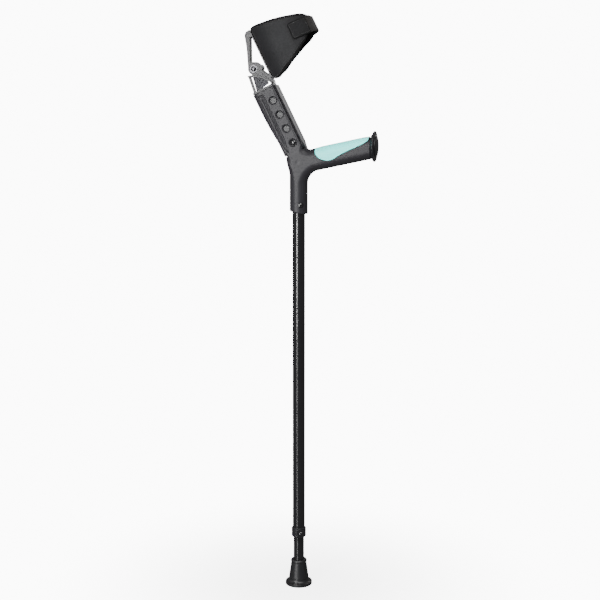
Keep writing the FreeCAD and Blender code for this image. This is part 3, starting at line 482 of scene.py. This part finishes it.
def handle_field(p):
    """Distance to the handle's moulding, with its recesses, beads, seat, bores and holes."""
    n, y, s = p[..., 0], p[..., 1], p[..., 2]
    x, z = model_xz(n, s)
    skin = handle_outside(n, y, s)
    chamfer = ((n + 21.0) * -0.42 + (np.abs(y) - SLEEVE_SIDE) * 0.907)
    skin = np.where(s > 2, common(skin, chamfer, 1.0), skin)
    # long recess near the back of both faces, with a rounded rib in it
    reach = ease(3.0, 30.0, s)
    recess = box_field(n - (-15.0 - 0.8 * reach), s - 57.0, 1.2 + 3.6 * reach, 53.5, 1.0)
    recess = common(recess, 13.2 - np.abs(y), 0.6)
    skin = minus(skin, recess, 0.5)
    rib = np.hypot(n + 15.2, np.abs(y) - 12.9) - 1.5 * reach
    skin = join(skin, common(rib, np.abs(s - 62.0) - 46.0, 1.0), 0.3)
    # bead and quirk along the front edge of both faces
    run = np.abs(s - 60.0) - 56.0
    bead = np.hypot(n - 10.1, np.abs(y) - 14.1) - 1.6
    skin = join(skin, common(bead, run, 0.8), 0.6)
    quirk = common(np.abs(n - 12.9) - 0.9, 12.6 - np.abs(y), 0.2)
    skin = minus(skin, common(quirk, run, 0.3), 0.4)
    # palm pad's seat
    seat = common(polygon_field(x, z, PALM_LINE) - 0.35, -3.0 - grip_skin(x, y, z), 0.4)
    skin = minus(skin, seat, 0.4)
    # inside: tube bore and the stem's slide
    bore = common(np.hypot(x, y) - TUBE_BORE_R, z - TUBE_BORE_TOP, 0.2)
    slide = box_field(n - SLIDE_MIDDLE, y, SLIDE_HALF_DEEP, SLIDE_HALF_WIDE, 0.8)
    slide = common(slide, SLIDE_FLOOR - s, 0.3)
    skin = minus(skin, bore, 0.4)
    skin = minus(skin, slide, 0.4)
    # countersunk holes in the right-hand face
    inside = y + WALL_INSIDE
    for index in range(HOLE_COUNT):
        out = np.hypot(n, s - FIRST_HOLE - HOLE_PITCH * index)
        sink = (out - HOLE_RIM_R + (SLEEVE_SIDE + y)) * 0.7
        hole = np.minimum(common(out - HOLE_R, inside, 0.1), common(sink, inside, 0.1))
        skin = minus(skin, hole, 0.4)
    return skin


def make_handle():
    step = 0.9
    handle = solid_from_field("handle_moulding", handle_field, (-66, -17.5, -108), (121, 17.5, 118.5),
                              step)
    paint(handle, CHARCOAL)
    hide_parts("handle_body")
    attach(handle, "shaft")


make_handle()


# ---------------------------------------------------------------------- springs
def make_coil(name, node, body):
    """The CAD coil copied as a piece of its own, painted and fixed to its body."""
    solid = frame["nodes"][node]
    coil = bpy.data.objects.new(name, solid.data.copy())
    bpy.context.scene.collection.objects.link(coil)
    paint(coil, STEEL)
    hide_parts(node)
    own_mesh(coil)
    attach(coil, body)


make_coil("pin_coil", "height_pin_spring", "shaft")
make_coil("button_coil", "stem_button_spring", "stem")


# ---------------------------------------------------------------------- palm pad
def palm_field(p):
    x, y, z = p[..., 0], p[..., 1], p[..., 2]
    edge, skin = polygon_field(x, z, PALM_LINE), grip_skin(x, y, z)
    groove = 0.3 * (1 - ease(0.0, 0.7, np.abs(edge + 2.6)))
    proud = 0.45 + 0.55 * ease(3.0, 11.0, -edge) - groove
    return common(common(edge, x - 123.0, 0.6), common(skin - proud, -2.9 - skin, 0.5), 0.9)


def make_palm_pad():
    step = 0.8
    pad = solid_from_field("palm_pad", palm_field, (28.0, -18.0, 764.0), (125.0, 18.0, 812.0), step,
                           place=lambda points: points * MM)
    paint(pad, PALM)
    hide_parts("grip_pad")
    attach(pad, "shaft")


make_palm_pad()

# ---------------------------------------------------------------------- cuff
CUFF_R, CUFF_BACK_N, CUFF_FRONT_N = 42.0, 57.8, 76.0
CUFF_TIP, QUARTER = 139.0, CUFF_R * math.pi / 2
COVER_DEPTHS, SHELL_DEPTHS, LINING_DEPTHS = (0.5, 1.2), (1.3, 3.7), (3.8, 5.4)
LINING_SWELL, LINING_WAVE = 2.6, 0.35
# edges of the near flap (right) and the far flap (left), as distance round the cuff from its back and
# height on the arm
RIGHT_LOW = [(0, 130), (16.5, 126.3), (33, 122.5), (44, 124), (54, 128), (62, 131.5), (74, 136),
             (89, 144.5), (102, 152), (113.5, 159.5), (125.5, 172), (134, 182), (139, 187.5)]
LEFT_LOW = [(0, 130), (12.5, 129.8), (25, 130.8), (35.5, 133.5), (44, 137.3), (56, 144), (71.5, 150.5),
            (87.5, 157), (100.5, 160.3), (109, 163), (118, 168.3), (125.5, 175), (134, 183.5), (139, 188)]
RIGHT_TOP = [(0, 217.6), (24, 217.5), (38, 216.3), (60, 212.7), (75.5, 210), (96, 205.1), (104, 203.1),
             (122, 199.3), (130, 196.8), (136, 194), (139, 191.5)]
LEFT_TOP = [(0, 217.6), (24, 217.5), (60, 214.5), (86.5, 211.5), (105.5, 207), (113.5, 203.5), (120, 199.8),
            (130, 196.2), (136, 193.6), (139, 191.5)]


def edge_level(arc, right, left):
    """Height of an edge at distances round the cuff, negative on the right."""
    lines = [np.array(curve_through(points)) for points in (right, left)]
    levels = [np.interp(np.abs(arc), line[:, 0], line[:, 1]) for line in lines]
    return np.where(arc < 0, *levels)


def on_cuff(arc, s, inset):
    """Arm-frame points at distances round the cuff's outer face, heights and depths below that face."""
    run = np.abs(arc)
    flat = CUFF_FRONT_N - CUFF_BACK_N
    turn = np.where(run < QUARTER, run, np.maximum(run - flat, QUARTER)) / CUFF_R
    middle = CUFF_BACK_N + np.clip(run - QUARTER, 0, flat)
    radius = CUFF_R - inset
    return np.stack([middle - radius * np.cos(turn), np.sign(arc) * radius * np.sin(turn), s + 0 * turn], -1)


def skin_pair(name, outer, inner, uv=None, place=from_arm):
    """A closed mesh from two grids of points, the outer and the inner face, joined round their borders."""
    rows, columns = outer.shape[:2]
    verts = place(np.concatenate([outer.reshape(-1, 3), inner.reshape(-1, 3)]))
    index = np.arange(rows * columns).reshape(rows, columns)
    low = index + rows * columns
    faces = [np.stack([index[:-1, :-1], index[1:, :-1], index[1:, 1:], index[:-1, 1:]], -1).reshape(-1, 4),
             np.stack([low[:-1, :-1], low[:-1, 1:], low[1:, 1:], low[1:, :-1]], -1).reshape(-1, 4)]
    ring = np.concatenate([index[0, :-1], index[:-1, -1], index[-1, :0:-1], index[:0:-1, 0]])
    beyond, under = np.roll(ring, -1), rows * columns
    faces.append(np.stack([ring, beyond, beyond + under, ring + under], -1))
    made = new_object(name, verts, np.concatenate(faces))
    if uv is not None:
        flat = np.concatenate([uv.reshape(-1, 2)] * 2) * MM
        layer = made.data.uv_layers.new(name="weave")
        corners = np.zeros(len(made.data.loops), int)
        made.data.loops.foreach_get("vertex_index", corners)
        layer.data.foreach_set("uv", flat[corners].astype(np.float32).ravel())
    return made


def cuff_layer(name, outer, inner, margin, columns, rows):
    """One layer of the cuff between two depths, which may depend on the distance to the nearest edge."""
    arc = np.linspace(margin - CUFF_TIP, CUFF_TIP - margin, columns)[:, None]
    low = edge_level(arc, RIGHT_LOW, LEFT_LOW) + margin
    top = edge_level(arc, RIGHT_TOP, LEFT_TOP) - margin
    t = np.linspace(0, 1, rows)[None, :]
    s = low + (top - low) * t
    arcs = arc + 0 * s
    from_edge = np.minimum(np.minimum(s - low, top - s), CUFF_TIP - margin - np.abs(arcs))
    skins = [on_cuff(arcs, s, depth(from_edge, arcs, s)) for depth in (outer, inner)]
    return skin_pair(name, *skins, uv=np.stack([arcs, s], -1))


def cuff_outline(spacing):
    """The cuff's border as evenly spaced (distance round, height), with its direction and the outward one."""
    arc = np.linspace(-CUFF_TIP, CUFF_TIP, 400)
    low, top = edge_level(arc, RIGHT_LOW, LEFT_LOW), edge_level(arc, RIGHT_TOP, LEFT_TOP)
    line = np.concatenate([np.stack([arc, low], -1), np.stack([arc, top], -1)[::-1]])

    def even(points, count):
        closed = np.concatenate([points, points[:1]])
        reach = np.concatenate([[0], np.cumsum(np.hypot(*np.diff(closed, axis=0).T))])
        at = np.linspace(0, reach[-1], count, endpoint=False)
        return np.stack([np.interp(at, reach, closed[:, k]) for k in range(2)], -1), reach[-1]

    points, length = even(line, 900)
    for _ in range(6):
        points = (np.roll(points, 1, 0) + points + np.roll(points, -1, 0)) / 3
    points, length = even(points, int(length / spacing))
    along = np.roll(points, -1, 0) - np.roll(points, 1, 0)
    along /= np.hypot(*along.T)[:, None]
    return points, along, np.stack([along[:, 1], -along[:, 0]], -1)


def sweep(name, rings, place=from_arm):
    """A closed loop of tube through rings of points, shaped (ring, point, 3)."""
    count, sides = rings.shape[:2]
    index = np.arange(count * sides).reshape(count, sides)
    after = np.roll(index, -1, 0)
    faces = np.stack([index, np.roll(index, -1, 1), np.roll(after, -1, 1), after], -1).reshape(-1, 4)
    return new_object(name, place(rings.reshape(-1, 3)), faces)


def stitches(name, place, starts, ends, radius=0.32):
    """Short round-ended threads from starts to ends, as one mesh. place maps (a, b, height) to the model."""
    verts, faces = [], []
    sides, profile = 6, ((-1.0, 0.05), (-0.94, 0.6), (-0.7, 1.0), (0.7, 1.0), (0.94, 0.6), (1.0, 0.05))
    for start, end in zip(starts, ends):
        middle, half = (start + end) / 2, (end - start) / 2
        aside = np.array([-half[1], half[0]]) / np.hypot(*half)
        base = len(verts)
        for step, girth in profile:
            for k in range(sides):
                turn = 2 * math.pi * k / sides
                spot = middle + half * step + aside * radius * girth * math.cos(turn)
                verts.append((*spot, radius * girth * math.sin(turn)))
        for ring in range(len(profile) - 1):
            for k in range(sides):
                a, b = base + ring * sides + k, base + ring * sides + (k + 1) % sides
                faces.append((a, b, b + sides, a + sides))
        faces.append([base + k for k in range(sides)][::-1])
        faces.append([base + (len(profile) - 1) * sides + k for k in range(sides)])
    return new_object(name, place(np.array(verts)), faces)


def make_cuff():
    """The cuff's layers, its bound edge and the stitches beside it."""
    columns, rows = ((281, 80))

    def flat(depth):
        return lambda d, a, s: depth + 0 * d

    def crowned(d, a, s):
        return COVER_DEPTHS[0] - COVER_DEPTHS[0] * ease(0, 5, d)

    def padded(d, a, s):
        wave = LINING_WAVE * np.sin(a / 9.0 + 0.8 * np.sin(s / 11.0)) * ease(6, 20, d)
        return LINING_DEPTHS[1] + LINING_SWELL * ease(0, 16, d) + wave

    cover = cuff_layer("cuff_cover_knit", crowned, flat(COVER_DEPTHS[1]), 1.2, columns, rows)
    shell = cuff_layer("cuff_shell_sheet", flat(SHELL_DEPTHS[0]), flat(SHELL_DEPTHS[1]), 2.0, 141, 30)
    lining = cuff_layer("cuff_lining_pad", flat(LINING_DEPTHS[0]), padded, 1.6, columns, rows)
    points, along, out = cuff_outline(1.6)
    turn = np.linspace(0, 2 * math.pi, 18, endpoint=False)
    across = -1.2 + 2.3 * np.sign(np.cos(turn)) * np.abs(np.cos(turn)) ** 0.6
    deep = 2.8 + 3.1 * np.sign(np.sin(turn)) * np.abs(np.sin(turn)) ** 0.55
    spots = points[:, None, :] + across[None, :, None] * out[:, None, :]
    rings = on_cuff(spots[..., 0], spots[..., 1], deep[None, :] + 0 * spots[..., 0])
    tape = sweep("cuff_binding_tape", rings)
    seam, along, out = cuff_outline(3.4)
    line = seam - out * 2.7
    half = along * 1.15
    sewn = stitches("cuff_binding_stitches",
                    lambda v: from_arm(on_cuff(v[:, 0], v[:, 1], -0.2 - v[:, 2])), line - half, line + half)
    for piece, finish, node, slot in (
            (cover, FABRIC, "cuff_cover", "cuff_fabric"), (shell, DARK, "cuff_shell", "shell_plastic"),
            (lining, BLACK_FABRIC, "cuff_lining", "lining_fabric"),
            (tape, BLACK_FABRIC, None, "strap_fabric"), (sewn, THREAD, None, "strap_fabric")):
        paint(piece, finish)
        if node:
            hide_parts(node)
        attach(piece, "cuff")


make_cuff()

# ---------------------------------------------------------------------- strap
STRAP_LOW, STRAP_HIGH, STRAP_R = 164.0, 191.5, 42.4
TAB_START, TAB_END, HINGE_TURN, ANCHOR_END = -79.0, -34.0, 42.0, 88.0
TAB_THICK, TAB_CORNER, TAB_SWELL, TAB_SEAM = 2.0, 3.0, 0.4, 2.2
WEB_THICK, WEB_INSET, WEB_BASE, WEB_CORNER = 1.8, 0.6, 0.1, 1.0
TAB_PITCH, ANCHOR_PITCH = 2.6, 2.8


def on_strap(points):
    """Points given as distance round the strap from straight ahead, height and height over its inner face."""
    turn, radius = points[..., 0] / STRAP_R, STRAP_R + points[..., 2]
    forward = CUFF_FRONT_N + radius * np.cos(turn)
    return from_arm(np.stack([forward, radius * np.sin(turn), points[..., 1]], -1))


def dense(low, high, edge, step):
    """Places from low to high, closer together within edge of both ends."""
    near = edge * np.array([0, 0.1, 0.3, 0.6])
    middle = np.linspace(low + edge, high - edge, max(3, int((high - low) / step)))
    return np.concatenate([low + near, middle, (high - near)[::-1]])


def band(name, start, stop, low, high, base, thick, corner, edge, swell=0.0):
    """A strip bent round the cuff's front, with rounded corners and edges and a small swell."""
    along, across = dense(start, stop, edge, 1.2), dense(low, high, edge, 1.2)
    a, s = (grid.copy() for grid in np.meshgrid(along, across, indexing="ij"))
    short = corner - np.minimum(np.minimum(s - low, high - s), corner)
    pull = corner - np.sqrt(np.maximum(corner**2 - short**2, 0))
    middle, half = (start + stop) / 2, (stop - start) / 2
    a = middle + (a - middle) * (half - pull) / half
    away = np.maximum(-box_field(a - middle, s - (low + high) / 2, half, (high - low) / 2, corner), 0)
    fall = edge - np.minimum(away, edge)
    height = thick - edge + np.sqrt(edge**2 - fall**2) + swell * ease(0, 9, away)
    outer, inner = (np.stack([a, s, base + h], -1) for h in (height, 0 * height))
    return skin_pair(name, outer, inner, uv=np.stack([a, s], -1), place=on_strap)


def line_of_stitches(a, b, pitch):
    """Starts and ends of stitches along a straight line."""
    a, b = np.array(a, float), np.array(b, float)
    length = np.hypot(*(b - a))
    count = max(2, int(length / pitch))
    at = (np.arange(count) + 0.5)[:, None] / count
    half = (b - a) / length * pitch * 0.36
    return a + (b - a) * at - half, a + (b - a) * at + half


def around(start, stop, low, high, pitch):
    """Starts and ends of stitches round a rectangle."""
    corners = np.array([(start, low), (stop, low), (stop, high), (start, high), (start, low)], float)
    runs = [line_of_stitches(a, b, pitch) for a, b in zip(corners, corners[1:])]
    return [np.concatenate(side) for side in zip(*runs)]


def tab_binding_and_edge_shade(start, stop, corner=TAB_CORNER, per_corner=8):
    """A thin tape folded over the tab's edge, black all round: partly the tab's real binding and partly
    painted shade for the dark line where the tab stands proud.
    """
    low, high = STRAP_LOW, STRAP_HIGH
    line = []
    for (a, s), first in (((stop - corner, low + corner), -90), ((stop - corner, high - corner), 0),
                          ((start + corner, high - corner), 90), ((start + corner, low + corner), 180)):
        for k in range(per_corner + 1):
            turn = math.radians(first + 90 * k / per_corner)
            line.append((a, s, math.cos(turn), math.sin(turn)))
    full = []
    for here, after in zip(line, line[1:] + line[:1]):
        spots = [np.array([p[0] + corner * p[2], p[1] + corner * p[3], p[2], p[3]]) for p in (here, after)]
        pieces = max(1, int(np.hypot(*(spots[1] - spots[0])[:2]) / 1.5))
        full += [spots[0] + (spots[1] - spots[0]) * k / pieces for k in range(pieces)]
    full = np.array(full)
    turn = np.linspace(0, 2 * math.pi, 12, endpoint=False)
    across, deep = -0.5 + 1.0 * np.cos(turn), 1.15 + 1.2 * np.sin(turn)
    spots = full[:, None, :2] + across[None, :, None] * full[:, None, 2:]
    heights = np.broadcast_to(deep[None, :, None], spots.shape[:2] + (1,))
    return sweep("strap_tab_binding_and_edge_shade", np.concatenate([spots, heights], -1), place=on_strap)


def make_strap():
    """The hook tab with its rim, the webbing between cuff and tab, and both lots of stitches."""
    tab_start, tab_end, hinge, far = (math.radians(turn) * STRAP_R
                                      for turn in (TAB_START, TAB_END, HINGE_TURN, ANCHOR_END))
    tab = band("strap_tab", tab_start, tab_end, STRAP_LOW, STRAP_HIGH, 0.0, TAB_THICK, TAB_CORNER, 0.7,
               TAB_SWELL)
    web = band("strap_web", tab_end + 0.2, far, STRAP_LOW + WEB_INSET, STRAP_HIGH - WEB_INSET, WEB_BASE,
               WEB_THICK, WEB_CORNER, 0.5)
    tab_sewn = around(tab_start + TAB_SEAM, tab_end - TAB_SEAM, STRAP_LOW + TAB_SEAM, STRAP_HIGH - TAB_SEAM,
                      TAB_PITCH)
    box = (hinge + 8.0, far - 3.0, STRAP_LOW + 3.5, STRAP_HIGH - 3.5)
    cross = [line_of_stitches((box[0], box[2]), (box[1], box[3]), ANCHOR_PITCH),
             line_of_stitches((box[0], box[3]), (box[1], box[2]), ANCHOR_PITCH)]
    anchor_sewn = [np.concatenate(side) for side in zip(around(*box, ANCHOR_PITCH), *cross)]
    sewn = [stitches("strap_tab_stitches", lambda v: on_strap(v + [0, 0, 2.35]), *tab_sewn),
            stitches("strap_anchor_stitches", lambda v: on_strap(v + [0, 0, 1.95]), *anchor_sewn)]
    rim = tab_binding_and_edge_shade(tab_start, tab_end)
    paint(tab, TAB)
    # black tape round the tab: its binding, and also painted shade for the dark line along the tab's raised
    # edge
    paint(rim, BLACK_FABRIC)
    paint(web, WEBBING)
    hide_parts("strap_hook_tab")
    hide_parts("strap_webbing", "strap_anchor")
    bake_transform(web)
    for piece, body in zip((tab, rim, *sewn), ("strap", "strap", "strap", "cuff")):
        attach(piece, body)
    for piece in sewn:
        paint(piece, THREAD)


make_strap()
